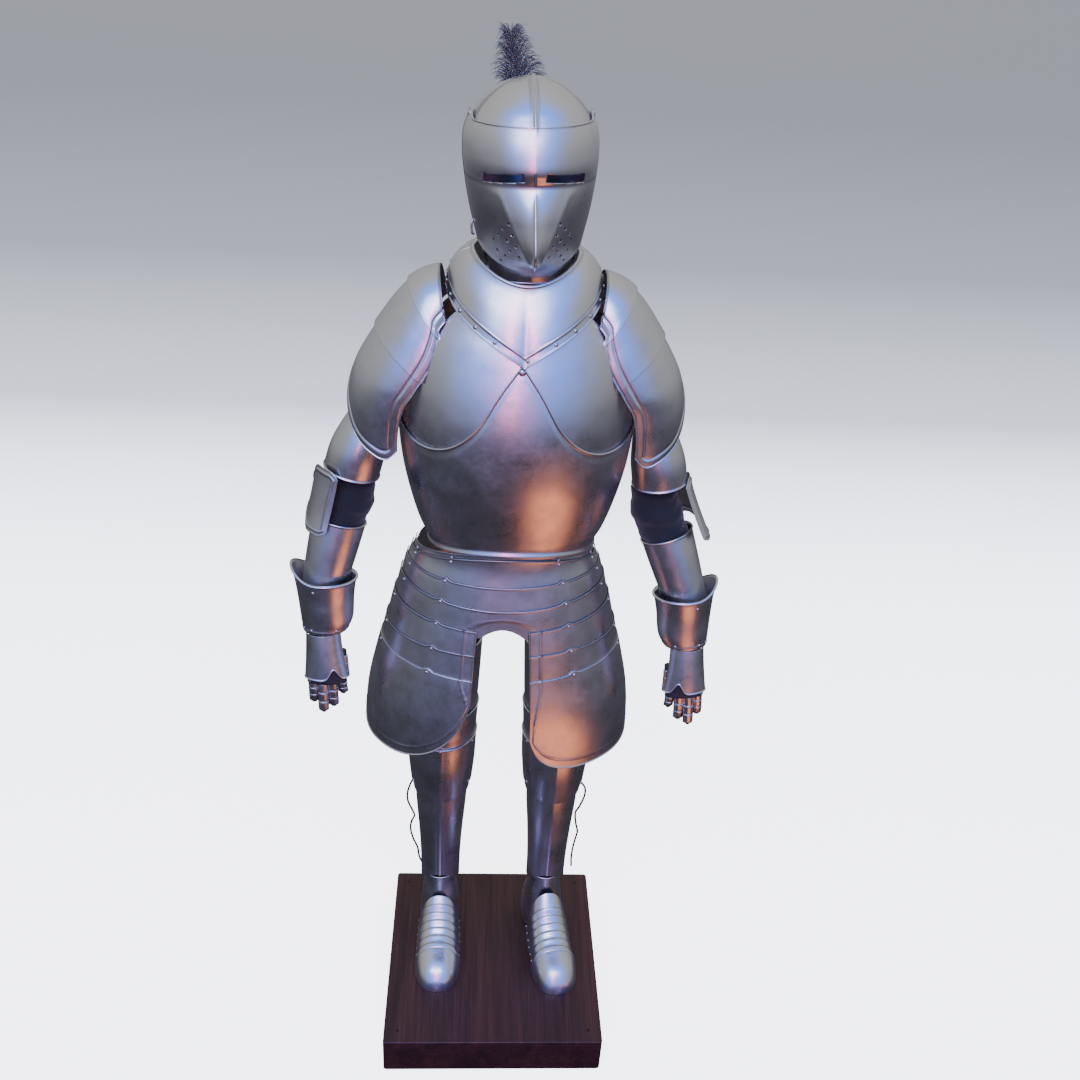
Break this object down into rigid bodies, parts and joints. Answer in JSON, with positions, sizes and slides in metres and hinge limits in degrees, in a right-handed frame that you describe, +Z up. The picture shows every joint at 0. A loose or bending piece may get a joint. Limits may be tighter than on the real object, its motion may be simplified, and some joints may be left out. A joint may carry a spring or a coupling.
{
  "type": "suit of plate armour on a wooden plinth",
  "caption": "Full suit of steel plate armour with a beaked visor, lamed skirt and pauldrons, standing as worn on a square wooden plinth.",
  "frame": {"origin": "centre of the plinth's underside", "axes": "+Z up along the standing suit, -Y the way the suit faces, +X towards the wearer's left"},
  "size_m": [0.7779, 0.45, 1.951],
  "materials": {
    "steel": "satin, hand polished",
    "dark_steel": "dark, worn",
    "cloth": "matte woven",
    "leather": "matte",
    "feather": "soft feather",
    "wood": "dark stained, satin"
  },
  "bodies": {
    "suit": {"backplate": "steel", "bevor": "steel", "breastplate": "steel", "couter_left": "steel", "couter_right": "steel", "cuisse_left": "steel", "cuisse_right": "steel", "culet": "steel", "elbow_sleeve_left": "cloth", "elbow_sleeve_right": "cloth", "fauld_lame_1": "steel", "fauld_lame_2": "steel", "fauld_lame_3": "steel", "fauld_lame_4": "steel", "gauntlet_cuff_left": "steel", "gauntlet_cuff_right": "steel", "glove_left": "leather", "glove_right": "leather", "gorget_back": "steel", "gorget_front": "steel", "greave_left": "steel", "greave_right": "steel", "hand_plate_left": "steel", "hand_plate_right": "steel", "heel_cup_left": "steel", "heel_cup_right": "steel", "helmet_skull": "steel", "knee_lower_lame_left": "steel", "knee_lower_lame_right": "steel", "knee_upper_lame_left": "steel", "knee_upper_lame_right": "steel", "lace_left": "leather", "lace_right": "leather", "pauldron_lame_1_left": "steel", "pauldron_lame_1_right": "steel", "pauldron_lame_2_left": "steel", "pauldron_lame_2_right": "steel", "pauldron_lame_3_left": "steel", "pauldron_lame_3_right": "steel", "plackart": "steel", "plinth": "wood", "plume": "feather", "plume_socket": "dark_steel", "poleyn_left": "steel", "poleyn_right": "steel", "rerebrace_left": "steel", "rerebrace_right": "steel", "sabaton_left": "steel", "sabaton_right": "steel", "tasset_lame_1_left": "steel", "tasset_lame_1_right": "steel", "tasset_lame_2_left": "steel", "tasset_lame_2_right": "steel", "tasset_left": "steel", "tasset_right": "steel", "toe_cap_left": "steel", "toe_cap_right": "steel", "vambrace_left": "steel", "vambrace_right": "steel"},
    "visor_body": {"visor": "steel"}
  },
  "joints": [
    {"name": "visor_hinge", "type": "hinge", "parent": "suit", "child": "visor_body", "pos_m": [-0.0001, 0.076, 1.832], "axis": [-0.999, -0.0262, -0.0349], "range_deg": [0, 60]}
  ]
}
